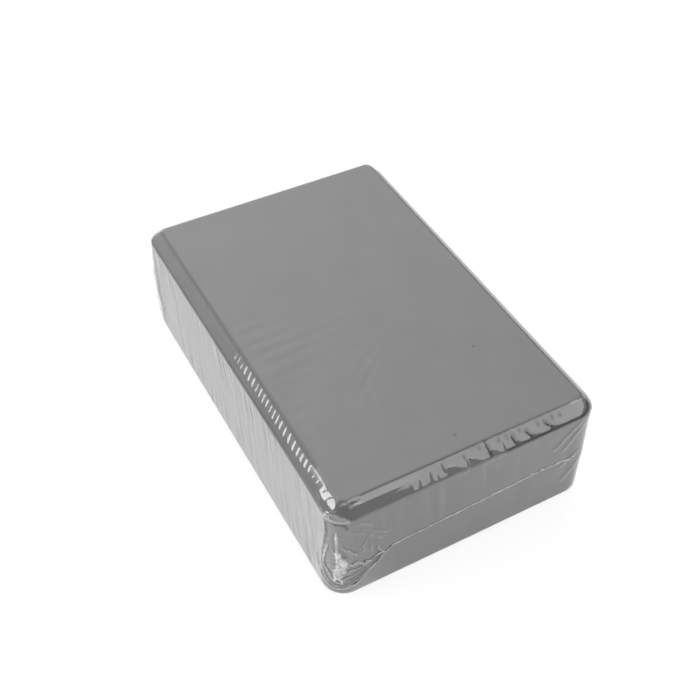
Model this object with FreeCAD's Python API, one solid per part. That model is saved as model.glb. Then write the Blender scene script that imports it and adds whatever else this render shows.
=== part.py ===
import FreeCAD, Part
import math
import os
from FreeCAD import Vector

# Foam block
block_length = 230.0        # along X
block_width = 150.0         # along Y
block_height = 75.0
edge_bevel = 7.0            # 45 degree bevel round the top and bottom edges
corner_radius = 12.0        # upright corners, between the bevels
face_corner_radius = 3.0    # corners of the top and bottom faces, inside the bevels

# Shrink film, two plies that meet in a plane near half the block's height
film_thickness = 0.3
cling_gap = 0.1             # air left between foam and film
fold_pleat_depth = 1.3      # pleats at the two corners on the fold side, -Y
weld_pleat_depth = 0.8      # pleats at the two corners on the welded side, +Y
gather_reach = 14.0         # how far the pleats run along each side, past the corner's arc
side_pleats = 2             # pleats on each straight end of a gather
corner_pleats = 3           # pleats round the corner's arc

# Trim seals, weld beads on the film's outer face
bead_width = 1.2
bead_height = 0.5
bead_end_gap = 1.0          # bare film between a bead's end and the corner gather
seal_drop = 1.3             # how far the plies meet below half the block's height, at its middle
seal_tilt = 3.0             # degrees that their plane rises from the fold side to the welded side

# A 45 degree bevel pushed out by one unit grows by this much
bevel_growth = 2.0 - math.sqrt(2.0)

film_outset = cling_gap + film_thickness
foam_base = film_outset
seal_level = foam_base + block_height / 2.0 - seal_drop
seal_slope = math.tan(math.radians(seal_tilt))


def make_profile(outset):
    """Half sizes, radii and heights of the block's form, pushed out by outset all round."""
    bevel = edge_bevel + bevel_growth * outset
    side = (block_length / 2.0 + outset, block_width / 2.0 + outset, corner_radius + outset)
    face_radius = face_corner_radius + outset * (1.0 - bevel_growth)
    face = (side[0] - bevel, side[1] - bevel, face_radius)
    bottom = foam_base - outset
    top = foam_base + block_height + outset
    return {
        "side": side,
        "face": face,
        "bottom": bottom,
        "low_bevel": bottom + bevel,
        "high_bevel": top - bevel,
        "top": top,
    }


def edge_through(start, middle, end):
    """An arc through three points, or a line where they are in line."""
    bend = (middle - start).cross(end - middle).Length
    if bend < 1e-6:
        return Part.LineSegment(start, end).toShape()
    return Part.Arc(start, middle, end).toShape()


def corner_stations(outline, corner, splits):
    """Points round one corner, each with its outward direction, from one side to the next.

    The straight ends have side splits each and the arc has corner splits. Halves of a step are
    points too, so every second one is the middle of a pleat.
    """
    half_x, half_y, radius = outline
    side_splits, arc_splits = splits
    start_angle = corner * math.pi / 2.0
    sign_x = 1.0 if corner in (0, 3) else -1.0
    sign_y = 1.0 if corner in (0, 1) else -1.0
    centre = Vector(sign_x * (half_x - radius), sign_y * (half_y - radius), 0.0)
    stations = []

    def add(angle, slide):
        outward = Vector(math.cos(angle), math.sin(angle), 0.0)
        along = Vector(-math.sin(angle), math.cos(angle), 0.0)
        stations.append((centre + outward * radius + along * slide, outward))

    for step in range(2 * side_splits):
        add(start_angle, gather_reach * (step / (2.0 * side_splits) - 1.0))
    for step in range(2 * arc_splits + 1):
        add(start_angle + math.pi / 2.0 * step / (2.0 * arc_splits), 0.0)
    for step in range(2 * side_splits):
        add(start_angle + math.pi / 2.0, gather_reach * (step + 1) / (2.0 * side_splits))
    return stations


def make_outline(outline, height, pleat_depth=None, splits=(0, 1), slope=0.0):
    """A closed rounded rectangle, with pleats that swell outwards at its four corners.

    Its plane is at the given height on the X axis and climbs by slope along Y.
    """
    edges = []
    ends = []

    def raised(point):
        return Vector(point.x, point.y, height + slope * point.y)

    for corner in range(4):
        stations = corner_stations(outline, corner, splits)
        pleats = (len(stations) - 1) // 2
        for pleat in range(pleats):
            start = stations[2 * pleat][0]
            middle, outward = stations[2 * pleat + 1]
            end = stations[2 * pleat + 2][0]
            if pleat_depth:
                swell = math.sin(math.pi * (pleat + 0.5) / pleats)
                middle = middle + outward * pleat_depth[corner] * swell
            edges.append(edge_through(raised(start), raised(middle), raised(end)))
        ends.append((raised(stations[0][0]), raised(stations[-1][0])))
        if corner:
            side = Part.LineSegment(ends[corner - 1][1], ends[corner][0]).toShape()
            edges.insert(len(edges) - pleats, side)
    edges.append(Part.LineSegment(ends[3][1], ends[0][0]).toShape())
    return Part.Wire(edges)


def make_bevelled_block(outset):
    """The block's form as one loft: bottom face, lower bevel, straight sides, upper bevel, top face."""
    form = make_profile(outset)
    wires = [
        make_outline(form["face"], form["bottom"]),
        make_outline(form["side"], form["low_bevel"]),
        make_outline(form["side"], form["high_bevel"]),
        make_outline(form["face"], form["top"]),
    ]
    return Part.makeLoft(wires, True, True)


def make_film_ply(face_level, bevel_level):
    """One ply of film: a cap over a face and its bevels, gathered into pleats where it meets the other ply."""
    form = make_profile(film_outset)
    splits = (side_pleats, corner_pleats)
    depths = (weld_pleat_depth, weld_pleat_depth, fold_pleat_depth, fold_pleat_depth)
    wires = [
        make_outline(form["side"], seal_level, depths, splits, seal_slope),
        make_outline(form["side"], form[bevel_level], None, splits),
        make_outline(form["face"], form[face_level], None, splits),
    ]
    skin = Part.makeLoft(wires, True, True)
    return skin.cut(make_bevelled_block(cling_gap))


def make_bead(length):
    """A half-round weld bead along Y, its flat back on the plane X = 0, centred on the origin."""
    half_width = bead_width / 2.0
    low = Vector(0.0, -length / 2.0, -half_width)
    crown = Vector(bead_height, -length / 2.0, 0.0)
    high = Vector(0.0, -length / 2.0, half_width)
    section = Part.Wire([Part.Arc(low, crown, high).toShape(), Part.LineSegment(high, low).toShape()])
    return Part.Face(section).extrude(Vector(0.0, length, 0.0))


def make_trim_seal(turn):
    """A weld bead on one side of the film, turned about Z from the +X side, in the plane where the plies meet."""
    half_x, half_y, radius = make_profile(film_outset)["side"]
    gather = radius + gather_reach + bead_end_gap
    reach, half_side = (half_x, half_y) if turn % 180 == 0 else (half_y, half_x)
    bead = make_bead(2.0 * (half_side - gather))
    bead.translate(Vector(reach, 0.0, 0.0))
    bead.rotate(Vector(0.0, 0.0, 0.0), Vector(0.0, 0.0, 1.0), turn)
    if turn % 180 == 0:
        bead.rotate(Vector(0.0, 0.0, 0.0), Vector(1.0, 0.0, 0.0), seal_tilt)
        bead.translate(Vector(0.0, 0.0, seal_level))
    else:
        bead.translate(Vector(0.0, 0.0, seal_level + seal_slope * reach))
    return bead


pieces = {
    "foam_block": make_bevelled_block(0.0),
    "film_upper_web": make_film_ply("top", "high_bevel"),
    "film_lower_web": make_film_ply("bottom", "low_bevel"),
    "front_trim_seal": make_trim_seal(0),
    "side_trim_seal": make_trim_seal(90),
    "rear_trim_seal": make_trim_seal(180),
}

os.makedirs("parts", exist_ok=True)
for node, shape in pieces.items():
    shape.exportStep("parts/" + node + ".step")
    print(node, "valid", shape.isValid(), "solids", len(shape.Solids), "volume", round(shape.Volume, 1))
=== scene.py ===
import math

import bmesh
import bpy
import numpy as np
from mathutils import Matrix, Vector


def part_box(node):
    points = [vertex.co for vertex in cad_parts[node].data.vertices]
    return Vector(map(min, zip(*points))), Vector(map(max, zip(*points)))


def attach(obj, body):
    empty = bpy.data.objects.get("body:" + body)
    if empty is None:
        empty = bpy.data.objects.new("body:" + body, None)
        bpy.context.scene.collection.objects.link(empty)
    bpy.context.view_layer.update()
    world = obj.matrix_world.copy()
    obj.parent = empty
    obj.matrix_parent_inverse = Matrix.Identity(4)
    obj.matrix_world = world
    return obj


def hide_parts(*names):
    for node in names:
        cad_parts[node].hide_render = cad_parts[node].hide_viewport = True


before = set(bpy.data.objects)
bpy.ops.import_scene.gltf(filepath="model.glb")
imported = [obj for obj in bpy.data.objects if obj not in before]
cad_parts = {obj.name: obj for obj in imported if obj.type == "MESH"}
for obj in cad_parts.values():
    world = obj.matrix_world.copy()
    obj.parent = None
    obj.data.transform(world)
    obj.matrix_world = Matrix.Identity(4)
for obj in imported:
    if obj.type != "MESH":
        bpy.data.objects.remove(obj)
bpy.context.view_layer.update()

mm = 0.001
scene = bpy.context.scene

# the block's own sizes: boxes come from the frame, edges are in millimetres
foamLow, foamHigh = (np.array(corner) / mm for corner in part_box("foam_block"))
frontLow, frontHigh = (np.array(corner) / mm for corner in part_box("front_trim_seal"))
sideLow, sideHigh = (np.array(corner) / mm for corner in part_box("side_trim_seal"))
block = {
    "halfX": (foamHigh[0] - foamLow[0]) / 2,
    "halfY": (foamHigh[1] - foamLow[1]) / 2,
    "bottom": foamLow[2],
    "top": foamHigh[2],
    "bevel": 7.0,
    "cornerRadius": 12.0,  # upright corners, at the sides
    "faceRadius": 3.0,  # the same corners, inside the bevels
}
seam = {
    "level": (frontLow[2] + frontHigh[2]) / 2,
    "slope": (frontHigh[2] - frontLow[2] - sideHigh[2] + sideLow[2]) / (frontHigh[1] - frontLow[1]),
}
bevelWidth = block["bevel"] * math.sqrt(2)
quarter = block["cornerRadius"] * math.pi / 2
longRun = 2 * (block["halfX"] - block["cornerRadius"])
shortRun = 2 * (block["halfY"] - block["cornerRadius"])
around = 2 * (longRun + shortRun) + 4 * quarter
foldFront = 0.0  # middles of the four corners, as distances round the block
weldFront = quarter + shortRun
weldRear = 2 * quarter + shortRun + longRun
foldRear = -quarter - longRun
print("block", {k: round(float(v), 2) for k, v in block.items()}, "round the sides", round(around, 1), "mm")


# smooth rise from 0 at low to 1 at high
def smoothRise(x, low, high):
    q = np.clip((x - low) / (high - low), 0, 1)
    return q * q * (3 - 2 * q)


# bell curve, 1 at zero
def hump(x, width):
    return np.exp(-(x / width) ** 2)


# a band that is 1 from low to high, with soft ends
def band(x, low, high, soft):
    return smoothRise(x, low - soft, low + soft) * (1 - smoothRise(x, high - soft, high + soft))


# waves of random direction, pace and phase added up, about -1 to 1
def waveNoise(a, b, lengthA, lengthB, seed, count=9):
    rng = np.random.default_rng(seed)
    total = np.zeros(np.broadcast(a, b).shape)
    for turn, pace, phase in rng.uniform(0, 1, (count, 3)):
        angle = 2 * math.pi * turn
        wave = math.cos(angle) * a / lengthA + math.sin(angle) * b / lengthB
        total += np.sin(2 * math.pi * (wave * (0.6 + pace) + phase))
    return total / math.sqrt(2 * count)


# the same waves along one line
def lineNoise(a, length, seed):
    return waveNoise(a, 0 * a, length, 1, seed)


# distance round the block from a centre, the short way
def nearRun(run, centre):
    return (run - centre + around / 2) % around - around / 2


# Where a distance round the block lies: 0 is the middle of the front fold corner (+X, -Y), and it grows
# anticlockwise from above. A ring is skeleton * (half size - radius) + radius * outward.
def ringPlace(run):
    legs = [0, quarter / 2, shortRun, quarter, longRun, quarter, shortRun, quarter, longRun, quarter / 2]
    marks = np.cumsum(legs)
    at = run % around
    angle = np.radians(np.interp(at, marks, [-45, 0, 0, 90, 90, 180, 180, 270, 270, 315]))
    skeletonX = np.interp(at, marks, [1, 1, 1, 1, -1, -1, -1, -1, 1, 1])
    skeletonY = np.interp(at, marks, [-1, -1, 1, 1, 1, 1, -1, -1, -1, -1])
    return {"run": nearRun(run, 0), "skeletonX": skeletonX, "skeletonY": skeletonY,
            "outX": np.cos(angle), "outY": np.sin(angle)}


# stretches round the block from the front fold corner's middle on, each as (length, foam's step, film's step)
gatherRun = 26
rearCorner = [(gatherRun, 2.1, 0.62), (quarter, 0.9, 0.6), (gatherRun, 2.1, 0.62)]
stretches = [(quarter / 2, 0.9, 0.28), (0.18 * shortRun, 2.1, 0.32), (0.82 * shortRun, 2.1, 0.44),
             (quarter, 0.9, 0.6), (longRun - gatherRun, 2.4, 2.2), *rearCorner,
             (shortRun - 2 * gatherRun, 2.1, 3.0), *rearCorner, (0.25 * longRun - gatherRun, 2.4, 0.9),
             (0.62 * longRun, 2.4, 0.5), (0.13 * longRun, 2.4, 0.36), (quarter / 2, 0.9, 0.28)]


# columns round the block, each stretch cut into equal steps of about the length it asks for
def ringColumns(isFilm):
    runs, start = [], 0.0
    for length, foamStep, filmStep in stretches:
        count = round(length / (filmStep if isFilm else foamStep))
        runs.append(start + np.linspace(0, length, count, endpoint=False))
        start += length
    return ringPlace(np.concatenate(runs))


# rings at each inset from the sides, rounder at the sides than on the face
def ringGrid(columns, inset, outset):
    reach = [0, block["bevel"], block["halfY"] + outset]
    radii = [block["cornerRadius"] + outset, block["faceRadius"] + outset, 0]
    radius = np.interp(inset, reach, radii)[:, None]
    halfX = (block["halfX"] + outset - inset)[:, None]
    halfY = (block["halfY"] + outset - inset)[:, None]
    x = columns["skeletonX"] * (halfX - radius) + radius * columns["outX"]
    y = columns["skeletonY"] * (halfY - radius) + radius * columns["outY"]
    return x, y


# The section over an edge: straight up, over the bevel and onto the face. The slope turns by
# 45 degrees at each edge, spread over the bend, and adding up its steps gives inset and rise.
def bevelCurve(bend, lead, count):
    fineCount = 1600
    crowding = 0.55  # rows lie closer at both edges
    fine = np.linspace(0, 2 * lead + bevelWidth, fineCount)
    turn = smoothRise(fine, lead - bend, lead + bend)
    turn += smoothRise(fine, lead + bevelWidth - bend, lead + bevelWidth + bend)
    slope = turn * math.pi / 4
    step = fine[1] - fine[0]
    inset = np.concatenate([[0], np.cumsum(np.sin(slope[:-1]) * step)])
    rise = np.concatenate([[0], np.cumsum(np.cos(slope[:-1]) * step)])
    share = np.linspace(0, 1, count)
    at = fine[-1] * (share - crowding * np.sin(4 * math.pi * share) / (4 * math.pi))
    curves = {"inset": inset, "rise": rise - lead, "slope": slope, "along": fine - lead}
    return {name: np.interp(at, fine, values) for name, values in curves.items()}


# A tighter arc in a foam corner: its distance from the foam arc's centre less the foam's own radius,
# scaled to 1 at the corner's middle and 0 at the arc's ends.
def tightArc(past, radius):
    wide = block["cornerRadius"]
    shift = wide - radius
    angle = np.clip(np.abs(past) / wide, 0, math.pi / 4)  # from the corner's middle
    inner = shift * math.sqrt(2) * np.cos(angle)
    reach = inner + np.sqrt(np.clip(radius ** 2 - 2 * (shift * np.sin(angle)) ** 2, 0, None))
    tangent = wide / np.cos(math.pi / 4 - angle)
    flat = angle > math.pi / 4 - math.atan2(shift, wide)
    return (np.where(flat, tangent, reach) - wide) / (shift * (math.sqrt(2) - 1))


# a mesh of quads on a grid, closed round u; v goes up and u goes anticlockwise
def gridObject(name, x, y, z, uv=None, hazeAndPaintedLight=None):
    mergeGap = 1e-7  # metres
    rows, columns = x.shape
    left = np.arange(rows * columns).reshape(rows, columns)
    right = np.roll(left, -1, axis=1)
    quads = np.stack([left[:-1], right[:-1], right[1:], left[1:]], axis=-1).reshape(-1, 4)
    mesh = bpy.data.meshes.new(name)
    mesh.from_pydata((np.stack([x, y, z], axis=-1).reshape(-1, 3) * mm).tolist(), [], quads.tolist())
    if uv is not None:
        layer = mesh.uv_layers.new(name="filmLay")
        layer.data.foreach_set("uv", uv.reshape(-1, 2)[quads.ravel()].ravel().astype(np.float32))
    if hazeAndPaintedLight is not None:
        # the film's haze, with painted highlights above 0 and painted shade below
        layer = mesh.attributes.new("filmHazeAndPaintedLight", "FLOAT", "POINT")
        layer.data.foreach_set("value", hazeAndPaintedLight.ravel().astype(np.float32))
    tidy = bmesh.new()
    tidy.from_mesh(mesh)
    bmesh.ops.remove_doubles(tidy, verts=tidy.verts, dist=mergeGap)
    bmesh.ops.dissolve_degenerate(tidy, edges=tidy.edges, dist=mergeGap)
    tidy.to_mesh(mesh)
    tidy.free()
    mesh.polygons.foreach_set("use_smooth", np.ones(len(mesh.polygons), dtype=bool))
    piece = bpy.data.objects.new(name, mesh)
    scene.collection.objects.link(piece)
    return piece


# materials

# an empty material and its node tree
def newMaterial(name):
    material = bpy.data.materials.new(name)
    material.use_nodes = True
    material.node_tree.nodes.clear()
    return material, material.node_tree


# a shader node with its constant inputs
def addNode(tree, kind, constants=None):
    node = tree.nodes.new("ShaderNode" + kind)
    for name, value in (constants or {}).items():
        node.inputs[name].default_value = value
    return node


# links from one node's output to another's input, a row each
def joinNodes(tree, *rows):
    for source, output, target, socket in rows:
        tree.links.new(source.outputs[output], target.inputs[socket])


# a value worked out from two, each a number or another node's output
def math2(tree, operation, first, second):
    node = addNode(tree, "Math")
    node.operation = operation
    for socket, value in zip(node.inputs, (first, second)):
        if isinstance(value, (int, float)):
            socket.default_value = value
        else:
            tree.links.new(value, socket)
    return node.outputs["Value"]


# an opaque grey
def grey(level):
    return (level, level, level, 1)


# a ramp between two greys, each as (place, level)
def greyRamp(tree, low, high):
    ramp = addNode(tree, "ValToRGB")
    for element, (place, level) in zip(ramp.color_ramp.elements, (low, high)):
        element.position = place
        element.color = grey(level)
    return ramp


# grey foam with a faint mottle and the dents of its cells
def foamMaterial():
    material, tree = newMaterial("evaFoam")
    out = addNode(tree, "OutputMaterial")
    shader = addNode(tree, "BsdfPrincipled", {"Roughness": 0.9})
    place = addNode(tree, "TexCoord")
    mottle = addNode(tree, "TexNoise", {"Scale": 60, "Detail": 4})
    tint = greyRamp(tree, (0.3, 0.192), (0.7, 0.208))
    cells = addNode(tree, "TexVoronoi", {"Scale": 1600})
    dent = addNode(tree, "Bump", {"Strength": 0.25, "Distance": 0.0002})
    joinNodes(tree,
              (place, "Object", mottle, "Vector"), (place, "Object", cells, "Vector"),
              (mottle, "Fac", tint, "Fac"), (tint, "Color", shader, "Base Color"),
              (cells, "Distance", dent, "Height"), (dent, "Normal", shader, "Normal"),
              (shader, "BSDF", out, "Surface"))
    return material


# Clear film with a mirror gloss of 2R / (1 + R) for its two surfaces, R being the Fresnel share of one.
# Haze above 0 makes the clear part milky and paints highlights; haze below 0 mixes in a dark diffuse as
# painted shade, and a few air holes on the top make it dark.
def filmMaterial():
    filmIndex = 1.5
    topFacing = 0.97
    material, tree = newMaterial("shrinkFilm")
    out = addNode(tree, "OutputMaterial")
    clear = addNode(tree, "BsdfTransparent")
    gloss = addNode(tree, "BsdfGlossy")
    milkAndHighlight = addNode(tree, "BsdfDiffuse", {"Color": grey(0.93)})  # several plies lying together, and painted highlights
    dark = addNode(tree, "BsdfDiffuse", {"Color": grey(0.03)})  # painted shade of folds, creases and edges
    lay = addNode(tree, "UVMap")
    lay.uv_map = "filmLay"
    ripple = addNode(tree, "TexNoise", {"Scale": 260, "Detail": 3})
    rough = addNode(tree, "MapRange", {"To Min": 0.02, "To Max": 0.09})
    dent = addNode(tree, "Bump", {"Strength": 0.12, "Distance": 0.00004})
    side = addNode(tree, "NewGeometry")  # the index is the same from both sides
    index = addNode(tree, "MapRange", {"To Min": filmIndex, "To Max": 1 / filmIndex})
    fresnel = addNode(tree, "Fresnel")
    hazeAndPaintedLight = addNode(tree, "Attribute")
    hazeAndPaintedLight.attribute_name = "filmHazeAndPaintedLight"
    place = addNode(tree, "TexCoord")
    pricks = addNode(tree, "TexVoronoi", {"Scale": 16})
    pricks.voronoi_dimensions = "2D"
    dot = addNode(tree, "MapRange", {"From Min": 0.008, "From Max": 0.018, "To Min": 0.6, "To Max": 0.0})
    facing = addNode(tree, "SeparateXYZ")
    chance = addNode(tree, "SeparateColor")
    mirror, cloudyAndHighlight, shaded = (addNode(tree, "MixShader") for _ in range(3))
    once = fresnel.outputs["Fac"]
    twice = math2(tree, "MULTIPLY", once, 2.0)
    share = math2(tree, "DIVIDE", twice, math2(tree, "ADD", once, 1.0))
    onTop = math2(tree, "GREATER_THAN", facing.outputs["Z"], topFacing)
    faint = math2(tree, "MULTIPLY", chance.outputs["Red"], chance.outputs["Green"])
    dots = math2(tree, "MULTIPLY", dot.outputs["Result"], onTop)
    dots = math2(tree, "MULTIPLY", dots, faint)
    paintedFoldShade = math2(tree, "MULTIPLY", hazeAndPaintedLight.outputs["Fac"], -1.0)
    tree.links.new(math2(tree, "MAXIMUM", hazeAndPaintedLight.outputs["Fac"], 0.0), cloudyAndHighlight.inputs["Fac"])
    tree.links.new(math2(tree, "MAXIMUM", paintedFoldShade, dots), shaded.inputs["Fac"])
    tree.links.new(share, mirror.inputs["Fac"])
    joinNodes(tree,
              (lay, "UV", ripple, "Vector"), (ripple, "Fac", rough, "Value"),
              (rough, "Result", gloss, "Roughness"), (ripple, "Fac", dent, "Height"),
              (dent, "Normal", gloss, "Normal"), (side, "Backfacing", index, "Value"),
              (index, "Result", fresnel, "IOR"), (place, "Object", pricks, "Vector"),
              (pricks, "Distance", dot, "Value"), (pricks, "Color", chance, "Color"),
              (place, "Normal", facing, "Vector"), (clear, "BSDF", cloudyAndHighlight, 1), (milkAndHighlight, "BSDF", cloudyAndHighlight, 2),
              (cloudyAndHighlight, "Shader", shaded, 1), (dark, "BSDF", shaded, 2), (shaded, "Shader", mirror, 1),
              (gloss, "BSDF", mirror, 2), (mirror, "Shader", out, "Surface"))
    return material


# a weld with milky and clear stretches, as a hot wire leaves them
def weldMaterial():
    material, tree = newMaterial("filmWeld")
    out = addNode(tree, "OutputMaterial")
    shader = addNode(tree, "BsdfPrincipled")
    place = addNode(tree, "TexCoord")
    beads = addNode(tree, "TexNoise", {"Scale": 420, "Detail": 2})
    tint = greyRamp(tree, (0.35, 0.45), (0.65, 0.88))
    rough = addNode(tree, "MapRange", {"To Min": 0.1, "To Max": 0.35})
    joinNodes(tree,
              (place, "Object", beads, "Vector"), (beads, "Fac", tint, "Fac"),
              (beads, "Fac", rough, "Value"), (tint, "Color", shader, "Base Color"),
              (rough, "Result", shader, "Roughness"), (shader, "BSDF", out, "Surface"))
    return material


# the foam block

foamLook = {
    "edgeBend": 0.7, "lead": 2.0, "bevelRows": 22, "sideRows": 14, "faceRows": 14,
    "tightRadius": 8.0,  # two corners are cut tighter than the rest; stand is (height, stand-off)
    "tightCorners": [
        {"run": weldFront, "stand": [(0, 1.0), (14, 1.0), (36, 0.9), (46, 0.6), (58, 0.2), (75, 0.2)]},
        {"run": foldRear, "stand": [(0, 0.8), (12, 1.1), (75, 1.1)]},
    ],
    "bevelShare": 0.25,  # how much of the stand-off is left at the bevel's upper edge
}


# rings from the underside's middle, out over the lower bevel, up the sides and over the upper bevel to the
# top's middle; the tight corners are added along the outward direction
def makeFoam(material):
    look = foamLook
    columns = ringColumns(isFilm=False)
    curve = bevelCurve(look["edgeBend"], look["lead"], look["bevelRows"])
    faceShare = np.linspace(0, 1, look["faceRows"], endpoint=False)
    faceInset = block["halfY"] + (curve["inset"][-1] - block["halfY"]) * faceShare
    lowRise = block["bottom"] + block["bevel"] - curve["rise"][::-1]
    highRise = block["top"] - block["bevel"] + curve["rise"]
    sideRise = np.linspace(lowRise[-1], highRise[0], look["sideRows"] + 2)[1:-1]
    inset = [faceInset, curve["inset"][::-1], np.zeros(len(sideRise)), curve["inset"], faceInset[::-1]]
    bottom, top = (np.full(len(faceInset), block[face]) for face in ("bottom", "top"))
    inset = np.concatenate(inset)
    x, y = ringGrid(columns, inset, 0.0)
    rise = np.concatenate([bottom, lowRise, sideRise, highRise, top])
    fade = np.interp(inset, [0, block["bevel"], block["halfY"]], [1, look["bevelShare"], 0])
    for corner in look["tightCorners"]:
        shape = tightArc(nearRun(columns["run"], corner["run"]), look["tightRadius"])
        lift = (np.interp(rise, *zip(*corner["stand"])) * fade)[:, None] * shape
        x += lift * columns["outX"]
        y += lift * columns["outY"]
    foam = gridObject("foamBlock", x, y, np.broadcast_to(rise[:, None], x.shape))
    foam.data.materials.append(material)
    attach(foam, "root")
    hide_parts("foam_block")
    print("foam", len(foam.data.polygons), "faces")


# the shrink film

filmLook = {
    "outset": 0.25,  # mean gap to the foam
    "edgeBend": 0.7, "lead": 3.0, "sideRows": 50,
    "upperPace": 1.2,  # above 1, rows are closer at their start: the upper ply's sides and both faces
    "facePace": 1.8, "bevelRows": 27, "faceRows": 10,
    "plySize": (0.24, 0.32),  # metres, one ply of the folded web before it shrank
    "lowerShare": 0.3,  # how much of the forms on bevels and face the lower ply has
    "hazeAndPaintedLight": 0.012,
    "foldSidePaintedLight": 0.1,  # painted light added along the fold side, towards the front
    # streaks of painted light and shade up the sides
    "streakPaintedLight": 0.05,
    "hazeRange": (-0.7, 1.0),
}

# how much of the gather each corner has; the folded side has the most, as the web has no weld there
gatherLook = {
    "corners": [
        {"run": foldFront, "flip": 1, "reach": 1.0, "depth": 1.0, "widen": 1.0, "seed": 21},
        {"run": foldRear, "flip": -1, "reach": 0.9, "depth": 0.85, "widen": 1.7, "seed": 22},
        {"run": weldRear, "flip": 1, "reach": 0.8, "depth": 0.45, "widen": 2.0, "seed": 24},
    ],
    "span": 34,  # how far it reaches to both sides of the corner's middle
    "swell": 0.7,  # the whole gather stands off the foam
    "raise": 2.0,  # its folds sit this much higher than the lines below say
    "wander": (0.25, 0.3),  # how wavy the lines are, round the block and in height
    "foldEnd": 2.2,  # a fold fades out over this length
    "crestHighlightWidth": 0.75,  # widths of a fold's painted crest highlight, and the place and width of its painted flank shade, in fold widths
    "flank": 1.2, "shadeWidth": 0.6, "crumple": 1.3, "hazeAndPaintedLight": 0.2,
    "knot": [(0.6, 41), (1.6, 37), (2.6, 33), (1.8, 28), (0.6, 24.5), (0.9, 21), (1.7, 18.5)],
    "knotWidth": 2.9, "knotMilkAndGlints": 1.0,
}

# Folds of a gather, each as (height, width, milk, shade, line). A line is made of (distance from the
# corner's middle, height) in millimetres. Each fold is a ridge with a painted highlight, milky as well, on
# its
# crest and painted shade on one flank: shade above 0 is on the line's right hand, below 0 on its left.
foldLook = [
    # swags that sweep under the corner, from the outer one in
    (0.5, 0.7, 0.6, -0.3, [(-15, 29), (-13.3, 22), (-10, 18.4), (-6, 14), (-2, 11.2), (3, 11.4),
     (6.7, 13), (10.7, 14.2)]),
    (0.6, 0.6, 0.6, -0.3, [(-8.6, 36), (-8.4, 28.5), (-7.1, 22.5), (-4.4, 15.9), (-1.3, 13.5), (3, 13.6),
     (7, 15.4)]),
    (0.7, 0.6, 0.8, -0.5, [(-4, 47.6), (-5.2, 41.4), (-5.9, 35), (-6.8, 30.5), (-5.9, 26.3), (-4, 24.1),
     (-1.7, 18.7), (0.8, 16.1), (4, 15.6)]),
    (0.5, 0.55, 0.6, -0.4, [(4, 14.6), (8.8, 13.8), (12.1, 15.5), (15.4, 19.7), (18.7, 23), (21.6, 27),
     (24.6, 31)]),
    (0.6, 0.5, 0.5, -0.6, [(5, 15.6), (7.2, 16.2), (11.3, 18.1), (14.7, 21), (19.4, 25), (24, 30.6)]),
    (0.5, 0.5, 0.4, -0.45, [(4.4, 16.6), (7.4, 18.4), (10.6, 20.6), (13.6, 23.2), (17.6, 26.4),
     (22, 30.4)]),
    (0.5, 0.5, 0.35, -0.35, [(3.4, 19), (4.9, 21.6), (7.6, 22.4), (10.4, 23.4), (14, 25.8), (18, 29)]),
    (0.6, 0.5, 0.6, -0.45, [(3.3, 23.5), (4.9, 26.4), (7.2, 27.1), (10, 27), (12.9, 27.5), (16.6, 28.9)]),
    (0.3, 0.5, 0.6, 0.3, [(4, 33.6), (7, 30), (8.2, 31.3), (9.8, 31.4), (11.7, 29), (13.2, 28),
     (14.3, 29.1), (16.6, 27.4)]),
    # upright creases above the knot
    (0.45, 0.7, 0.3, -0.45, [(-6.6, 65), (-6.2, 58), (-6.1, 54), (-7.3, 48), (-7.3, 43.6), (-8.7, 36.8),
     (-7.3, 33)]),
    (0.4, 0.6, 0.15, 0.3, [(-2.6, 58), (-2.2, 53), (-3.2, 47.7), (-1.4, 40.6)]),
    (0.5, 0.9, 0.8, 0.2, [(-0.2, 60.5), (-0.4, 51.8), (0.1, 47), (0.3, 39)]),
    # curls beside the knot
    (0.5, 0.45, 0.55, -0.55, [(1.8, 47.5), (3.7, 45.5), (5.6, 44.4), (7.2, 42.4), (9.4, 38.4)]),
    (0.3, 0.5, 0.2, 0.45, [(4.6, 47.8), (6.2, 48.2), (7.6, 46.4)]),
    (0.4, 0.5, 0.1, 0.45, [(3.1, 41), (4.7, 38), (6.4, 35.3)]),
    (0.3, 0.5, 0.35, 0.35, [(-5, 27.8), (-2.1, 31.8)]),
    (0.4, 0.6, 0.25, 0.5, [(19.5, 39.5), (20.7, 38.6), (22.6, 34.9), (23.5, 32.6)]),
    # painted shadow under the awning, and a fan of faint folds from its end
    (0.0, 1.1, 0.0, 1.1, [(-3.6, 66), (0, 66.6), (3, 67), (4.7, 65.8), (6.3, 61.5)]),
    (0.25, 0.8, 0.12, 0.06, [(8.6, 65.6), (17.3, 60)]),
    (0.25, 0.8, 0.12, 0.08, [(11, 59.8), (20.1, 51.8), (28, 46.6)]),
    (0.3, 0.9, 0.12, 0.14, [(6.6, 58.1), (11.8, 56.6), (17.7, 50.3), (23.5, 44)]),
    (0.3, 0.7, 0.1, 0.1, [(12.4, 47), (12.8, 38.6)]),
    (0.25, 0.7, 0.1, 0.1, [(14.1, 50), (14.2, 44.5)]),
    (0.3, 0.8, 0.06, 0.1, [(16.4, 47), (17.4, 36)]),
]


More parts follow.
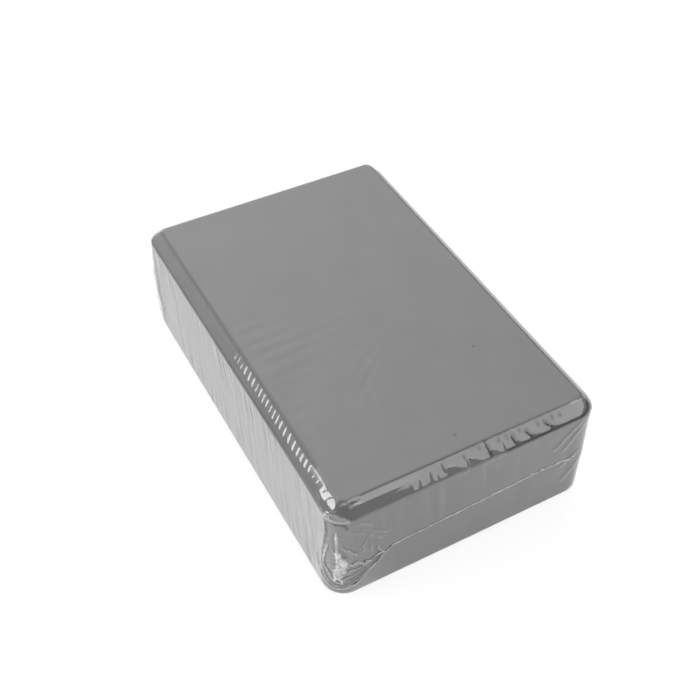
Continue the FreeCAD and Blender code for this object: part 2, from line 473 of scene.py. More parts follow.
# Distance from a bent line, positive on its right hand, and the distance along it to its nearer end. Its
# corners are cut twice to round them.
def nearPath(run, rise, path):
    points = np.array(path, float)
    for _ in range(2):
        low, high = points[:-1], points[1:]
        cut = np.stack([0.75 * low + 0.25 * high, 0.25 * low + 0.75 * high], axis=1).reshape(-1, 2)
        points = np.concatenate([points[:1], cut, points[-1:]])
    steps = np.diff(points, axis=0)
    lengths = np.hypot(steps[:, 0], steps[:, 1])
    marks = np.concatenate([[0], np.cumsum(lengths)])
    gap = np.full(run.shape, np.inf)
    across = np.zeros(run.shape)
    passed = np.zeros(run.shape)
    for start, step, length, mark in zip(points, steps, lengths, marks):
        awayRun, awayRise = run - start[0], rise - start[1]
        part = np.clip((awayRun * step[0] + awayRise * step[1]) / length ** 2, 0, 1)
        far = np.hypot(awayRun - part * step[0], awayRise - part * step[1])
        side = np.where(awayRun * step[1] - awayRise * step[0] > 0, 1, -1)
        nearer = far < gap
        across = np.where(nearer, side * far, across)
        passed = np.where(nearer, mark + part * length, passed)
        gap = np.where(nearer, far, gap)
    return across, np.minimum(passed, marks[-1] - passed)


# A gather: a low swell, bell-shaped ridges along its folds and a crumpled knot in its middle, milky and
# painted white for its glints. A fold's painted highlight lies on its crest; its painted shade is a bell
# curve beside it.
def gatherLift(run, rise, corner):
    look = gatherLook
    lift = np.zeros(run.shape)
    hazeAndPaintedLight = np.zeros(run.shape)
    a = corner["flip"] * nearRun(run, corner["run"]) / corner["reach"]
    near = np.abs(a) < look["span"]
    a, rise = a[near], rise[near]
    seed = corner["seed"]
    a += look["wander"][0] * waveNoise(a, rise, 3.1, 3.7, seed)
    rise += look["wander"][1] * waveNoise(a, rise, 3.5, 2.9, seed + 1)
    foldEdge = -10 - 4 * (1 - smoothRise(rise, 20, 36))
    frontEdge = 20 - 0.35 * np.maximum(rise - 30, 0)
    region = band(a, foldEdge, frontEdge, 5) * band(rise, 10, 54, 10)
    raised = look["swell"] * region
    rise -= look["raise"] * region
    patchy = 0.8 + 0.3 * waveNoise(a, rise, 6, 8, seed + 2)
    milkAndHighlight = look["hazeAndPaintedLight"] * patchy * band(a, -6, 7, 2.5) * band(rise, 14, 64, 5)
    # painted shade on the folds' flanks
    dark = np.zeros(a.shape)
    strength = 0.85 + 0.35 * waveNoise(a, rise, 5, 5, seed + 3)
    for height, foldWidth, crestHighlight, shade, path in foldLook:
        across, end = nearPath(a, rise, path)
        uneven = np.clip(end / look["foldEnd"], 0, 1) * strength
        width = foldWidth * corner["widen"]
        raised += height * hump(across, width) * uneven
        milkAndHighlight = np.maximum(milkAndHighlight, crestHighlight * hump(across, look["crestHighlightWidth"] * width) * uneven)
        flank = math.copysign(look["flank"] * width, shade)
        dark = np.maximum(dark, abs(shade) * hump(across - flank, look["shadeWidth"] * width) * uneven)
    wide = look["knotWidth"] * (1 - 0.45 * smoothRise(rise, 34, 41))
    wide *= 0.45 + 0.55 * smoothRise(rise, 18, 27)
    away = np.abs(nearPath(a, rise, look["knot"])[0]) + 0.7 * waveNoise(a, rise, 4, 4, seed + 4)
    knot = 1 - smoothRise(away, 0.5 * wide, 1.2 * wide)
    rumple = np.abs(waveNoise(a, rise, 4.5, 5.5, seed + 5))
    rumple += 0.7 * np.abs(waveNoise(a, rise, 2.0, 2.2, seed + 6))
    raised += look["crumple"] * knot * rumple
    milkAndHighlight = np.maximum(milkAndHighlight, look["knotMilkAndGlints"] * knot * np.clip(0.66 + 0.6 * rumple, 0, 1))
    lift[near] = corner["depth"] * raised
    hazeAndPaintedLight[near] = corner["depth"] * (milkAndHighlight - dark * (1 - milkAndHighlight))
    return lift, hazeAndPaintedLight


# single ridges by the front welded corner, as (height, width, line) with a line of (distance round, height);
# each fades out over the length creaseEnd
creaseEnd = 3.0
creaseLook = [
    (0.45, 1.3, [(137, 67), (129, 60), (121, 51)]),
    (0.35, 1.5, [(140, 66), (134, 57), (127, 46)]),
    (0.35, 1.2, [(140, 44), (133, 38), (126, 33)]),
    (0.35, 1.6, [(143, 40), (138, 30), (131, 20)]),
    (0.3, 0.7, [(133, 40), (136, 34)]),
    (0.25, 0.6, [(129, 41), (130.5, 35)]),
]


# an awning of spare film over the front fold corner, at the bevel's lower edge: it leaves the bevel,
# stands out furthest at its rim and drops back under it; its rim has a painted highlight
flapLook = {
    "middle": -1.0, "halfLength": 7.4,
    "top": 2.9,  # all along the bevel, from its lower edge
    "rim": -0.7, "under": -1.2, "height": 1.6, "milkAndHighlight": 0.3, "rimHighlight": 0.6, "rimWidth": 0.28,
    "shade": 0.4,  # a painted shade line above the rim, at the fold end
    "shadeGap": 0.9,
}


# the awning's outline is a parabola, its height falls from the rim to its upper edge
def flapLift(run, along):
    look = flapLook
    lens = np.clip(1 - ((run - look["middle"]) / look["halfLength"]) ** 2, 0, 1)
    outer = np.clip((look["top"] * lens - along) / (look["top"] * lens - look["rim"] + 1e-6), 0, 1)
    drop = smoothRise(along, look["under"], look["rim"])
    lift = look["height"] * lens ** 0.55 * outer * drop
    cover = smoothRise(outer, 0.02, 0.2) * drop * smoothRise(lens, 0.02, 0.3)
    # a painted highlight along the rim, and a painted shade line above it
    rim = look["rimHighlight"] * hump(along - look["rim"], look["rimWidth"])
    foldEnd = 1 - smoothRise(run, look["middle"] - 2, look["middle"] + 2)
    dark = look["shade"] * hump(along - look["rim"] - look["shadeGap"], 0.3) * foldEnd
    return lift, look["milkAndHighlight"] + rim - dark, cover


# the fold side's film runs on straight past the start of the corner's arc, and turns at a crease
squareLook = {"start": -quarter / 2, "sideCrease": -6.4, "bevelCrease": -3.4, "back": 1.8, "low": 22}


# The lift that takes an arc out to its tangent plane, along the surface's own outward direction:
# radius * (1 - cos(angle)) * cos(slope) / (cos(angle) * cos(slope)^2 + sin(slope)^2)
def squareLift(run, rise, along, share):
    look = squareLook
    radius = block["cornerRadius"] + (block["faceRadius"] - block["cornerRadius"]) * share
    crease = look["sideCrease"] + (look["bevelCrease"] - look["sideCrease"]) * smoothRise(share, 0.2, 0.45)
    angle = (np.clip(run, look["start"], crease) - look["start"]) / block["cornerRadius"]
    bend = filmLook["edgeBend"]
    turns = smoothRise(along, -bend, bend) + smoothRise(along, bevelWidth - bend, bevelWidth + bend)
    slope = math.pi / 4 * turns
    gap = radius * (1 - np.cos(angle)) * np.cos(slope)
    back = 1 - np.clip((run - crease) / look["back"], 0, 1)
    fade = smoothRise(rise, look["low"] - 4, look["low"] + 4)
    fade *= 1 - smoothRise(along, bevelWidth - 2, bevelWidth + 1)
    return gap / (np.cos(angle) * np.cos(slope) ** 2 + np.sin(slope) ** 2) * back * fade


# two corners' film is tighter than the foam's corner, an ear of spare film; stand is (height, stand-off), and
# shade is painted shade on the ear
earLook = {
    "radius": 8.0,
    "corners": [
        {"run": weldFront, "shade": 0.5,
         "stand": [(0, 1.4), (9, 1.5), (14, 1.5), (36, 1.3), (46, 0.9), (58, 0.5), (75, 0.5)]},
        {"run": foldRear, "shade": 0.0, "stand": [(0, 1.0), (10, 1.3), (66, 1.3), (75, 1.3)]},
    ],
    "bulge": 0.4,  # the film bags out over the welded side's bevel, next to the front ear
}


# the film's ears stand off as their lists say, and leave the bevel below its upper edge; the front ear is
# painted darker, as shade
def earLift(run, rise, along):
    look = earLook
    past = nearRun(run, weldFront)
    lift = look["bulge"] * smoothRise(past, 2, 12) * (1 - smoothRise(past, 12, 60)) * band(along, 0, 6, 4)
    dark = np.zeros(run.shape)
    for corner in look["corners"]:
        past = nearRun(run, corner["run"])
        ear = tightArc(past, look["radius"]) * np.interp(rise, *zip(*corner["stand"]))
        ear *= 1 - smoothRise(along, 1, bevelWidth)
        lift += ear
        dark += corner["shade"] * smoothRise(ear, 0.15, 0.6) * smoothRise(past, -2, 0.5)
    return lift, dark


# air holes pricked in the film on the fold side, as (x, height)
ventLook = {
    "places": [(-75, 50), (5, 25), (58.7, 30), (69.3, 33), (82, 35), (83.4, 33)],
    "radius": 0.55,
    "squeeze": 0.75,  # width as a share of height
    "shade": 0.35, "milkAndHighlight": 0.08,
}


# bell curves: a hole is dark round its middle, and milky on a rim two radii out
def ventHaze(run, rise, x):
    look = ventLook
    onFold = band(run, foldRear, foldFront - 8, 2)
    hazeAndPaintedLight = np.zeros(run.shape)
    for placeX, placeRise in look["places"]:
        far = np.hypot(x - placeX, look["squeeze"] * (rise - placeRise))
        rim = look["milkAndHighlight"] * hump(far - 2 * look["radius"], 0.6 * look["radius"])
        hazeAndPaintedLight = hazeAndPaintedLight - look["shade"] * hump(far, look["radius"]) + rim
    return hazeAndPaintedLight * onFold


# cross puckers on the two bevels that show, side streaks and faint waves on the faces
puckerLook = {
    "left": {"spacing": 4.1, "height": 0.19, "flank": 0.37, "lean": 0.42,
             "from": -20, "to": 10, "farBoost": 0.42},
    "patch": {"from": 80, "ridge": 95.5, "slant": 16, "fall": 0.032, "to": 112, "lip": (0.12, 0.12)},
    "notches": [(98.5, 0.1, 0.72), (102.6, 0.14, 0.6)],  # x, height and share of the bevel
    "specks": [(87.2, 0.62), (91.0, 0.67)],  # x and share of the bevel
    "speckHeight": 0.1,
    "wedgeLength": 2.6,  # in tails
    "wedgeSoft": 0.2,  # how softly wedges and dashes end across the bevel
    "dashSoft": 0.14,
    "pleat": 0.14,  # a line along the front bevel, near its fold end
    "sag": 0.15,  # the film bows out across a bevel
    "leftSag": 0.42,  # the same near the front fold corner
    "frontSag": (0.1, 0.36),  # and along the front bevel, from its fold end
    "weldSag": 0.2,  # added on the welded side
    "streak": 0.16,  # on the sides
    "sideSwell": 0.06,
    "faceWave": 0.11,  # on the top
    "waveLength": 8.6, "faceSwell": 0.07,
}


# Puckers across the front bevel, each as (y, lean, height, width, tail, low, high, wedge). Low and high are
# shares of the bevel. A wedge rises quickly past its line and then levels out, and a dash is a short step.
shortDash = (0.12, 1.4, 2.4)
frontPuckers = [
    (-33.5, 1, 0.2, 1.2, 1.6, -0.2, 0.4, False),
    (-28.4, -2, 0.2, 1.2, 2.0, -0.2, 0.5, False),
    (-22.3, -1, 0.22, 1.3, 1.6, 0.0, 0.72, False),
    (-19.0, 0, 0.22, 1.2, 1.4, -0.2, 0.36, False),
    (-14.2, 1, 0.55, 1.0, 4.0, -0.2, 0.62, True),
    (-15.2, 1.5, 0.34, 1.5, 1.8, 0.4, 0.82, False),
    (-3.2, 1, *shortDash, 0.5, 0.82, False),
    (5.5, 1, *shortDash, 0.58, 0.84, False),
    (16.3, 1, *shortDash, 0.56, 0.84, False),
    (20.6, 1, *shortDash, 0.56, 0.84, False),
    (28.3, 2, *shortDash, 0.58, 0.84, False),
    (39.0, 4, *shortDash, 0.52, 0.84, False),
    (47.5, 5, *shortDash, 0.52, 0.84, False),
    (52.0, 6, *shortDash, 0.5, 0.82, False),
    (-2.3, 1, 0.55, 1.0, 4.8, -0.2, 0.54, True),
    (10.8, 1, 0.45, 1.4, 2.4, -0.2, 0.66, True),
    (9.6, 1.5, 0.5, 2.0, 2.0, 0.3, 0.9, False),
    (23.6, 2.6, 0.25, 1.8, 3.0, 0.25, 0.72, False),
    (31.9, 7.2, 0.25, 1.8, 3.0, 0.25, 0.68, False),
    (43.4, 9.8, 0.25, 1.8, 3.2, 0.28, 0.7, False),
]


# fine lines painted on the bevels, each as (tone, width, line): painted highlights above 0 and painted shade
# below; a line is made of (distance round, distance up the bevel) in millimetres
shortPaintedShade = (-0.75, 0.6)
paintedLineLook = [
    (0.45, 0.45, [(-0.9, 7.6), (4, 8.6), (10.6, 9.2), (16, 9.4)]),
    (-0.5, 0.5, [(9.5, 8.2), (15.6, 8.2)]),
    (0.4, 0.4, [(7.6, 6.2), (11.6, 6.6), (15, 6.4)]),
    (-0.6, 0.75, [(90, 0.2), (112, 0.5), (132, 0.9), (weldFront - 7, 1.0)]),
    (-0.5, 1.0, [(weldFront - 8, 0.9), (weldFront - 4.5, 1.8), (weldFront - 1, 3.6),
     (weldFront + 1.5, 4.8), (weldFront + 3, 6)]),
    (0.4, 0.5, [(weldFront - 15, 9.7), (weldFront - 10, 9.2), (weldFront - 6.5, 8.6)]),
    # painted shade along the puckers across the front bevel, four long ones and short ones higher up
    (-0.6, 0.8, [(82.3, 8.0), (82.1, 4.6), (82.8, 0.8)]),
    (-0.7, 0.75, [(95.3, 7.7), (96.6, 5.2), (97.6, 2.0)]),
    (-0.7, 0.75, [(102.9, 7.0), (104.6, 4.6), (106.8, 1.8)]),
    (-0.7, 0.8, [(113.8, 7.4), (116, 5), (118.8, 2.2)]),
    (*shortPaintedShade, [(69.2, 5), (68.9, 7.7)]),
    (*shortPaintedShade, [(77.8, 5.9), (77.6, 8.4)]),
    (*shortPaintedShade, [(88.6, 5.7), (88.4, 8.4)]),
    (*shortPaintedShade, [(93, 5.7), (92.7, 8.4)]),
    (*shortPaintedShade, [(100.5, 5.9), (100, 8.4)]),
    (*shortPaintedShade, [(111.2, 5.4), (110.2, 7.9)]),
    (*shortPaintedShade, [(119.7, 5.4), (118.4, 7.9)]),
    (-0.75, 0.62, [(124.3, 5.1), (122.7, 7.7)]),
    # the fold side's bevel has a painted dark line of shade at its lower edge and a faint one at its upper
    # edge
    (-0.4, 0.45, [(foldRear + 2, 0.3), (-90, 0.3), (-10, 0.3)]),
    (-0.34, 1.1, [(foldRear + 5, 9.4), (-90, 9.5), (-28, 9.6)]),
]


# each line's painted tone is a bell curve across it, a fifth as strong at its ends
def paintedLineTone(run, along):
    hazeAndPaintedLight = np.zeros(run.shape)
    for tone, width, path in paintedLineLook:
        across, end = nearPath(run, along, path)
        hazeAndPaintedLight += tone * hump(across, width) * np.clip(end / 0.8, 0.2, 1)
    return hazeAndPaintedLight


# a tooth that rises slowly from 0 to 1 and drops over the last part of each turn
def sawTooth(turns, flank):
    part = turns % 1
    return np.minimum(part / (1 - flank), (1 - part) / flank)


# Puckers are slanted teeth along a bevel. Share is 0 at the bevel's lower edge and 1 at its upper one, and
# the sag is a parabola of it.
def bevelLift(run, along, share, x, y):
    look = puckerLook
    upperEnd = 1 - smoothRise(along, bevelWidth - 0.5, bevelWidth + 1.5)
    onBevel = smoothRise(along, -2.5, 0.8) * upperEnd
    onLeft = band(run, foldRear + 8, foldFront - 1, 4)
    onFront = band(run, foldFront + 6, weldFront - 6, 4)
    widen = smoothRise(y, -70, -58)
    skew = share ** (1 - 0.1 * onFront * widen + 0.25 * onLeft * smoothRise(x, 50, 85))
    frontSag = look["frontSag"][0] + (look["frontSag"][1] - look["frontSag"][0]) * widen
    sag = look["sag"] + (look["leftSag"] - look["sag"]) * onLeft * smoothRise(x, 20, 85)
    sag += look["weldSag"] * band(run, weldFront + 4, weldRear - 4, 6)
    sag += (frontSag - look["sag"]) * onFront
    bow = sag * np.clip(4 * skew * (1 - skew), 0, None)

    # the fold side's row of teeth, which ends in a smooth patch
    left = look["left"]
    turns = (x + left["lean"] * share * bevelWidth) / left["spacing"] + 0.35 * lineNoise(x, 34, 31)
    strength = smoothRise(x, left["from"], left["to"]) * (1 - 0.97 * smoothRise(x, 80, 85))
    strength *= 1.05 + 0.22 * lineNoise(x, 10, 32)
    strength *= 1 + left["farBoost"] * (1 - smoothRise(x, 15, 45))
    leftLift = left["height"] * sawTooth(turns, left["flank"]) * strength * band(share, 0.42, 0.95, 0.14)

    # the patch rises to a slanted ridge and falls evenly past it
    patch = look["patch"]
    ridge = patch["ridge"] + patch["slant"] * np.clip(0.55 - share, 0, None)
    peak = patch["fall"] * (patch["to"] - patch["ridge"])
    up = np.clip((x - patch["from"]) / (ridge - patch["from"]), 0, 1)
    ramp = np.where(x < ridge, peak * up, peak - patch["fall"] * (x - ridge))
    ramp = ramp * smoothRise(along, -16, 3) * upperEnd * onLeft
    lip = patch["lip"][0] * smoothRise(x, 82, 96) + patch["lip"][1] * smoothRise(x, 98, 110)
    leftLift += lip * hump(share - 0.52, 0.2)
    for notchX, height, notchShare in look["notches"]:
        cut = band(share, notchShare - 0.12, notchShare + 0.12, 0.05)
        leftLift += height * hump(x - notchX, 0.5) * cut
    for speckX, speckShare in look["specks"]:
        leftLift += look["speckHeight"] * hump(x - speckX, 0.7) * hump(share - speckShare, 0.12)

    # the front's wedges and dashes, which settle exponentially past their lines
    frontLift = np.zeros(x.shape)
    for lineY, lean, height, width, tail, low, high, wedge in frontPuckers:
        past = y - lineY - lean * (0.5 - share)
        settle = np.exp(-np.maximum(past, 0) / tail)
        if wedge:
            end = look["wedgeLength"] * tail
            form = (1 - settle) * (1 - smoothRise(past, end, end + 1.5))
        else:
            form = smoothRise(past, -width / 2, width / 2) * settle
        soft = look["wedgeSoft"] if wedge else look["dashSoft"]
        frontLift += height * form * band(share, low, high, soft)
    pleat = look["pleat"] * hump(share - 0.6, 0.05) * band(y, -66, -38, 5)

    # painted highlights and painted shade lines along the bevels' edges
    fray = 0.8 + 0.3 * waveNoise(x, share, 6, 1, 35)
    edgeLightShade = 0.85 * band(x, 82.5, 96, 1.2) * hump(share - 0.83, 0.055) * fray * onLeft
    edgeLightShade += 0.045 * band(x, 66, 106, 12) * (1 - smoothRise(share, 0.45, 0.7)) * onLeft
    onWeld = band(run, foldFront + 8, weldRear, 4)
    edgeLightShade -= 0.3 * hump(share - 0.99, 0.05) * onWeld * (share < 1)
    edgeLightShade -= 0.6 * hump(share - 0.35, 0.14) * band(run, weldFront + 4, weldRear - 8, 3)
    return bow + ramp + (leftLift * onLeft + (frontLift + pleat) * onFront) * onBevel, edgeLightShade


# patchy streaks up the sides, strongest near the upper edge, and a broad swell
def sideLift(run, rise, along):
    look = puckerLook
    onSide = 1 - smoothRise(along, -3, 1)
    upper = smoothRise(along, -34, -4)
    patchy = np.clip(0.6 + 0.7 * waveNoise(run, rise, 45, 60, 44), 0.1, 1.4) * (0.35 + 0.65 * upper)
    frontal = 1 - 0.55 * smoothRise(run, 2, 14) - 0.7 * (1 - smoothRise(run, foldRear - 14, foldRear - 2))
    streak = waveNoise(run + 0.12 * rise, rise, 9, 80, 41, 14)
    streak += 0.7 * waveNoise(run + 0.3 * rise, rise, 4, 40, 42, 14) * upper
    swell = waveNoise(run, rise, 40, 30, 43)
    return onSide * (look["streak"] * streak * patchy * frontal + look["sideSwell"] * swell)


# patchy sine ripples near the fold side's edge of a face, and a broad swell
def faceLift(x, y, along):
    look = puckerLook
    onFace = smoothRise(along - bevelWidth, 1, 7)
    nearLeft = hump(y + block["halfY"] - block["bevel"], 62) * band(x, -40, 75, 25)
    turn = 2 * math.pi * (x + 0.03 * y) / look["waveLength"]
    ripple = np.sin(turn + 1.1 * waveNoise(x, y, 45, 140, 51))
    patchy = np.clip(0.8 + 0.5 * waveNoise(x, y, 34, 50, 53), 0.3, 1.1)
    patchy *= 0.7 + 0.4 * smoothRise(x, -25, 40)
    swell = waveNoise(x, y, 70, 60, 52)
    return onFace * (look["faceWave"] * ripple * nearLeft * patchy + look["faceSwell"] * swell)


# the film's lift off its mean surface, and its haze with the painted light and shade in it, each the sum of
# what its forms add
def filmLift(run, rise, along, x, y, lower):
    look = filmLook
    plyShare = look["lowerShare"] if lower else 1.0
    share = np.clip(along / bevelWidth, 0, 1)
    bevel, paintedEdgeLines = bevelLift(run, along, share, x, y)
    lift = bevel * plyShare + sideLift(run, rise, along) + faceLift(x, y, along) * plyShare
    onSide = 1 - smoothRise(along, -4, 0.5)
    onFold = onSide * band(run, foldRear, foldFront - 8, 3)
    streak = waveNoise(run + 0.1 * rise, rise, 3.6, 70, 45, 14)
    streak *= np.clip(0.5 + 0.8 * waveNoise(run, rise, 28, 40, 46), 0, 1.3)
    # painted light along the fold side, and streaks of painted light and shade on the sides
    hazeAndPaintedLight = look["hazeAndPaintedLight"] + look["foldSidePaintedLight"] * onFold * smoothRise(x, -70, 70)
    hazeAndPaintedLight += (look["streakPaintedLight"] * onSide + look["streakPaintedLight"] * onFold) * streak
    lift += squareLift(run, rise, along, share)
    hazeAndPaintedLight += ventHaze(run, rise, x) * onSide
    for corner in gatherLook["corners"]:
        gathered, milkAndPaintedLight = gatherLift(run, rise, corner)
        lift += gathered * onSide
        hazeAndPaintedLight += milkAndPaintedLight * onSide
    for height, width, path in creaseLook:
        across, end = nearPath(run, rise, path)
        lift += height * hump(across, width) * np.clip(end / creaseEnd, 0, 1) * onSide
    ear, earShade = earLift(run, rise, along)
    lift += ear
    hazeAndPaintedLight -= earShade
    if not lower:
        awning, milkAndPaintedLight, cover = flapLift(run, along)
        lift += awning
        hazeAndPaintedLight = hazeAndPaintedLight + (milkAndPaintedLight - hazeAndPaintedLight) * cover + paintedEdgeLines + paintedLineTone(run, along)
    return lift, np.clip(hazeAndPaintedLight, *look["hazeRange"])


# rows from the seam up the side, over the bevel and in to the face's middle, moved by their lift along the
# surface's outward direction; the lower ply is the same downwards
def makeFilm(name, node, material, lower):
    look = filmLook
    columns = ringColumns(isFilm=True)
    curve = bevelCurve(look["edgeBend"], look["lead"], look["bevelRows"])
    flat = block["halfY"] + look["outset"] - curve["inset"][-1]
    faceIn = flat * np.linspace(0, 1, look["faceRows"] + 1)[1:] ** look["facePace"]
    sidePace = 1.0 if lower else look["upperPace"]
    sideShare = np.linspace(0, 1, look["sideRows"], endpoint=False)[:, None] ** sidePace
    inset = np.concatenate([np.zeros(look["sideRows"]), curve["inset"], curve["inset"][-1] + faceIn])
    slope = np.concatenate([np.zeros(look["sideRows"]), curve["slope"], np.full(len(faceIn), math.pi / 2)])
    slope = slope[:, None]
    x, y = ringGrid(columns, inset, look["outset"])
    upward = -1 if lower else 1
    face = block["bottom"] - look["outset"] if lower else block["top"] + look["outset"]
    edge = face - upward * block["bevel"]
    capRise = edge + upward * np.concatenate([curve["rise"], np.full(len(faceIn), curve["rise"][-1])])
    seamRise = seam["level"] + seam["slope"] * y[0]
    sideRise = seamRise + (capRise[0] - seamRise) * sideShare
    z = np.concatenate([sideRise, np.broadcast_to(capRise[:, None], (len(capRise), x.shape[1]))])
    capAlong = np.concatenate([curve["along"], curve["along"][-1] + faceIn])[:, None] + np.zeros(x.shape[1])
    along = np.concatenate([upward * (sideRise - edge), capAlong])
    run = np.broadcast_to(columns["run"], x.shape)
    lift, hazeAndPaintedLight = filmLift(run, z, along, x, y, lower)
    x += np.cos(slope) * lift * columns["outX"]
    y += np.cos(slope) * lift * columns["outY"]
    z += np.sin(slope) * lift * upward
    uv = np.stack([run * mm, along * mm], axis=-1)
    grids = (x, y, z, uv, hazeAndPaintedLight)
    film = gridObject(name, *(grid[::-1] for grid in grids) if lower else grids)
    film.data.materials.append(material)
    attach(film, "root")
    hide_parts(node)
    print(name, len(film.data.polygons), "faces")


# weld beads: a round section carried along a line on the film, thinned to a point at both ends

weldLook = {
    "frontSeal": {"node": "front_trim_seal", "from": 4.0, "to": weldFront - 6.5},
    "sideSeal": {"node": "side_trim_seal", "from": weldFront + 10, "to": weldRear - 12.5},
    "rearSeal": {"node": "rear_trim_seal", "from": weldRear + 12.5,
                 "to": weldRear + quarter + shortRun - 15},
    # the front seal's end, as (distance round, height)
    "tail": [(4, 37), (7, 33.4), (8.2, 34.7), (9.8, 34.8), (11.7, 32.4), (13.2, 31.4), (14.3, 32.5),
             (16.6, 30.6), (18.4, 31.5), (21, 32.6), (23.5, 32.6), (25.8, 30.8), (28, 32.4)],
    "radius": 0.32,
    "squash": 0.8,  # its reach outwards as a share of its radius
    "taper": 2.0, "outset": 0.06,
    "tailOutset": 0.25,  # added at the front seal's end
    "step": 0.4, "sides": 8,
}


# a place on the film at a distance round the block and a height, with its outward direction
def filmPlace(run, rise, outset):
    place = ringPlace(run)
    radius = block["cornerRadius"] + filmLook["outset"]
    x = place["skeletonX"] * longRun / 2 + radius * place["outX"]
    y = place["skeletonY"] * shortRun / 2 + radius * place["outY"]
    along = rise - (block["top"] + filmLook["outset"] - block["bevel"])
    lift = filmLift(place["run"], rise, along, x, y, False)[0] + outset
    return x + lift * place["outX"], y + lift * place["outY"], place["outX"], place["outY"]


# a bead on the seam's line with two waves added; its thickness tapers as a square root at both ends
def makeWeld(name, material):
    look = weldLook
    seal = look[name]
    isFront = name == "frontSeal"
    count = round((seal["to"] - seal["from"]) / look["step"])
    run = np.linspace(seal["from"], seal["to"], count)
    place = ringPlace(run)
    y = place["skeletonY"] * shortRun / 2 + block["cornerRadius"] * place["outY"]
    rise = seam["level"] + seam["slope"] * y + 0.35 * lineNoise(run, 16, 61) + 0.12 * lineNoise(run, 4, 62)
    if isFront:  # its end is drawn into the corner's gather
        tailRun, tailRise = np.array(look["tail"]).T
        tail = 1 - smoothRise(run, tailRun[-1] - 3, tailRun[-1] + 3)
        rise = rise * (1 - tail) + np.interp(run, tailRun, tailRise) * tail - 1.6 * smoothRise(run, 118, 140)
        rise += 0.45 * lineNoise(run, 5, 65) * smoothRise(run, 98, 116)
    outset = look["outset"] + look["tailOutset"] * isFront * (1 - smoothRise(run, 22, 30))
    x, y, outX, outY = filmPlace(run, rise, outset)
    taper = np.clip(np.minimum(run - run[0], run[-1] - run) / look["taper"], 0, 1) ** 0.5
    thick = look["radius"] * taper * (1 + 0.3 * lineNoise(run, 3, 63) + 0.25 * lineNoise(run, 9, 64))
    turn = np.linspace(0, 2 * math.pi, look["sides"], endpoint=False)
    outward = thick[:, None] * look["squash"] * np.sin(turn)
    beadX = x[:, None] + outward * outX[:, None]
    beadY = y[:, None] + outward * outY[:, None]
    beadZ = rise[:, None] + thick[:, None] * np.cos(turn)
    weld = gridObject(name, beadX, beadY, beadZ)
    weld.data.materials.append(material)
    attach(weld, "root")
    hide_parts(seal["node"])
    print(name, len(weld.data.polygons), "faces")


# floor, lights and camera

stageLook = {"floorSize": 8.0, "floorTint": 0.8, "whiteStrength": 1.25, "seenShare": 0.68,
             "glossShare": 0.78, "frontShare": 0.455, "glossFrom": -0.075, "glossTo": -0.03}


# a pale matte floor, white to the camera; the film's gloss shows some of the white, most on the fold side
def makeFloor():
    look = stageLook
    half = look["floorSize"] / 2
    mesh = bpy.data.meshes.new("floor")
    corners = [(-half, -half, 0), (half, -half, 0), (half, half, 0), (-half, half, 0)]
    mesh.from_pydata(corners, [], [(0, 1, 2, 3)])
    floor = bpy.data.objects.new("floor", mesh)
    scene.collection.objects.link(floor)
    material, tree = newMaterial("paleFloor")
    out = addNode(tree, "OutputMaterial")
    matte = addNode(tree, "BsdfDiffuse", {"Color": grey(look["floorTint"])})
    white = addNode(tree, "Emission", {"Strength": look["whiteStrength"]})
    path = addNode(tree, "LightPath")
    place = addNode(tree, "TexCoord")
    apart = addNode(tree, "SeparateXYZ")
    share = addNode(tree, "MapRange", {"From Min": look["glossFrom"], "From Max": look["glossTo"],
                                        "To Min": look["glossShare"], "To Max": look["frontShare"]})
    mix = addNode(tree, "MixShader")
    seen = math2(tree, "MULTIPLY", path.outputs["Is Camera Ray"], look["seenShare"])
    for name in ("Is Glossy Ray", "Is Transmission Ray"):
        more = math2(tree, "MULTIPLY", path.outputs[name], share.outputs["Result"])
        seen = math2(tree, "MAXIMUM", seen, more)
    tree.links.new(seen, mix.inputs["Fac"])
    joinNodes(tree,
              (place, "Object", apart, "Vector"), (apart, "Y", share, "Value"), (matte, "BSDF", mix, 1),
              (white, "Emission", mix, 2), (mix, "Shader", out, "Surface"))
    mesh.materials.append(material)


# the direction at an azimuth and an elevation in degrees
def fromAzimuth(azimuth, elevation):
    a, e = math.radians(azimuth), math.radians(elevation)
    return Vector((math.sin(a) * math.cos(e), -math.cos(a) * math.cos(e), math.sin(e)))


# the turn whose axes are the three given ones
def turnFrom(across, upward, back):
    return Matrix((across, upward, back)).transposed().to_quaternion()


# azimuth 0 looks from the fold side and 90 from the front; angles are in degrees, as seen from the block
lightLook = {
    "keyLeft": {"azimuth": -12.5, "elevation": 26, "distance": 1.1, "wide": 29, "high": 21, "radiance": 7.6},
    "overFront": {"azimuth": 99.5, "elevation": 50, "distance": 1.2, "wide": 21, "high": 32, "radiance": 0.5},
    "sideRight": {"azimuth": 135.4, "elevation": 30, "distance": 1.3, "wide": 46, "high": 52,
                  "radiance": 2.5, "glossAbove": 19},
    "backdrop": {"azimuth": 275, "elevation": 40, "dark": 0.08, "bright": 2.13, "from": 0.514},
}


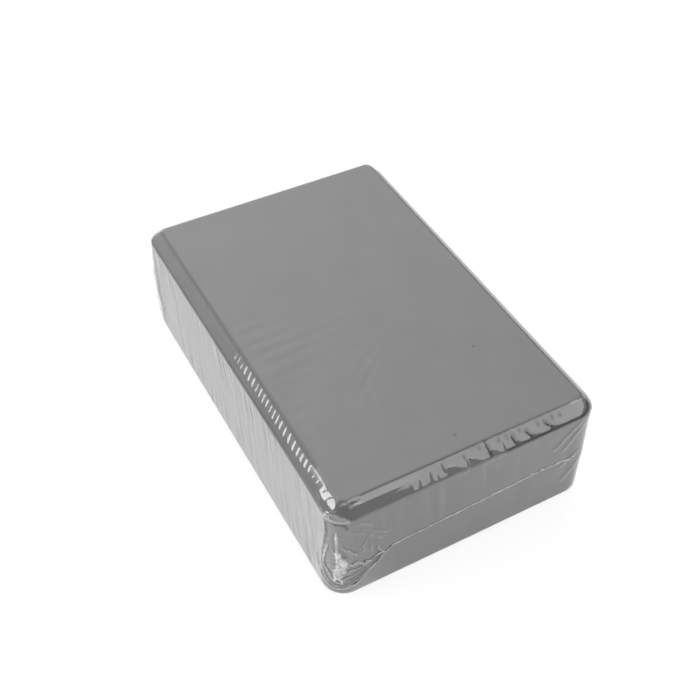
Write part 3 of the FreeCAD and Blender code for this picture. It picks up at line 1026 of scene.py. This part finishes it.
# a soft box that faces the block, as wide and high as its angles say; what lies below glossAbove is screened
# from the gloss
def softBox(name, azimuth, elevation, distance, wide, high, radiance, glossAbove=None):
    away = fromAzimuth(azimuth, elevation)
    across = Vector((math.cos(math.radians(azimuth)), math.sin(math.radians(azimuth)), 0))
    upward = away.cross(across)
    reach = distance * math.tan(math.radians(high / 2))
    parts = [(-reach, reach, True)]
    if glossAbove is not None:
        cut = distance * math.tan(math.radians(glossAbove - elevation))
        parts = [(cut, reach, True), (-reach, cut, False)]
    for low, top, glossy in parts:
        light = bpy.data.lights.new(name, "AREA")
        light.shape = "RECTANGLE"
        light.size = 2 * distance * math.tan(math.radians(wide / 2))
        light.size_y = top - low
        light.energy = radiance * math.pi * light.size * light.size_y
        lamp = bpy.data.objects.new(name, light)
        lamp.location = away * distance + upward * (low + top) / 2
        lamp.rotation_mode = "QUATERNION"
        lamp.rotation_quaternion = turnFrom(across, upward, away)
        lamp.visible_glossy = glossy
        scene.collection.objects.link(lamp)


# three soft boxes, and a room that brightens towards the backdrop and looks white to the camera
def makeLights():
    for name in ("keyLeft", "overFront", "sideRight"):
        softBox(name, **lightLook[name])
    look = lightLook["backdrop"]
    world = bpy.data.worlds.new("studio")
    world.use_nodes = True
    tree = world.node_tree
    tree.nodes.clear()
    out = addNode(tree, "OutputWorld")
    place = addNode(tree, "TexCoord")
    facing = addNode(tree, "VectorMath", {1: fromAzimuth(look["azimuth"], look["elevation"])})
    facing.operation = "DOT_PRODUCT"
    level = addNode(tree, "MapRange", {"From Min": look["from"],
                                        "To Min": look["dark"], "To Max": look["bright"]})
    room = addNode(tree, "Background")
    white = addNode(tree, "Background", {"Color": grey(1)})
    path = addNode(tree, "LightPath")
    mix = addNode(tree, "MixShader")
    joinNodes(tree,
              (place, "Generated", facing, 0), (facing, "Value", level, "Value"),
              (level, "Result", room, "Strength"), (path, "Is Camera Ray", mix, "Fac"),
              (room, "Background", mix, 1), (white, "Background", mix, 2),
              (mix, "Shader", out, "Surface"))
    scene.world = world


cameraLook = {
    "place": (354.65, -205.83, 468.99),  # millimetres, from the block's own outline in the picture
    "forward": (-0.60176, 0.34350, -0.72104),
    "roll": 1.31,  # degrees
    "lens": 54.80, "sensor": 36,
    "nearest": 0.01,  # metres
}


# the camera's axes are its forward direction and the level across it, turned by the roll
def makeCamera():
    look = cameraLook
    camera = bpy.data.objects.new("camera", bpy.data.cameras.new("camera"))
    camera.data.sensor_width = look["sensor"]
    camera.data.lens = look["lens"]
    camera.data.clip_start = look["nearest"]
    camera.location = Vector(look["place"]) * mm
    forward = Vector(look["forward"]).normalized()
    level = forward.cross(Vector((0, 0, 1))).normalized()
    above = level.cross(forward)
    roll = math.radians(look["roll"])
    right = level * math.cos(roll) + above * math.sin(roll)
    camera.rotation_mode = "QUATERNION"
    camera.rotation_quaternion = turnFrom(right, right.cross(forward), -forward)
    scene.collection.objects.link(camera)
    scene.camera = camera


makeFoam(foamMaterial())
clearFilm = filmMaterial()
makeFilm("filmUpper", "film_upper_web", clearFilm, False)
makeFilm("filmLower", "film_lower_web", clearFilm, True)
milkyWeld = weldMaterial()
for weldName in ("frontSeal", "sideSeal", "rearSeal"):
    makeWeld(weldName, milkyWeld)
makeFloor()
makeLights()
makeCamera()
scene.view_settings.view_transform = "Standard"
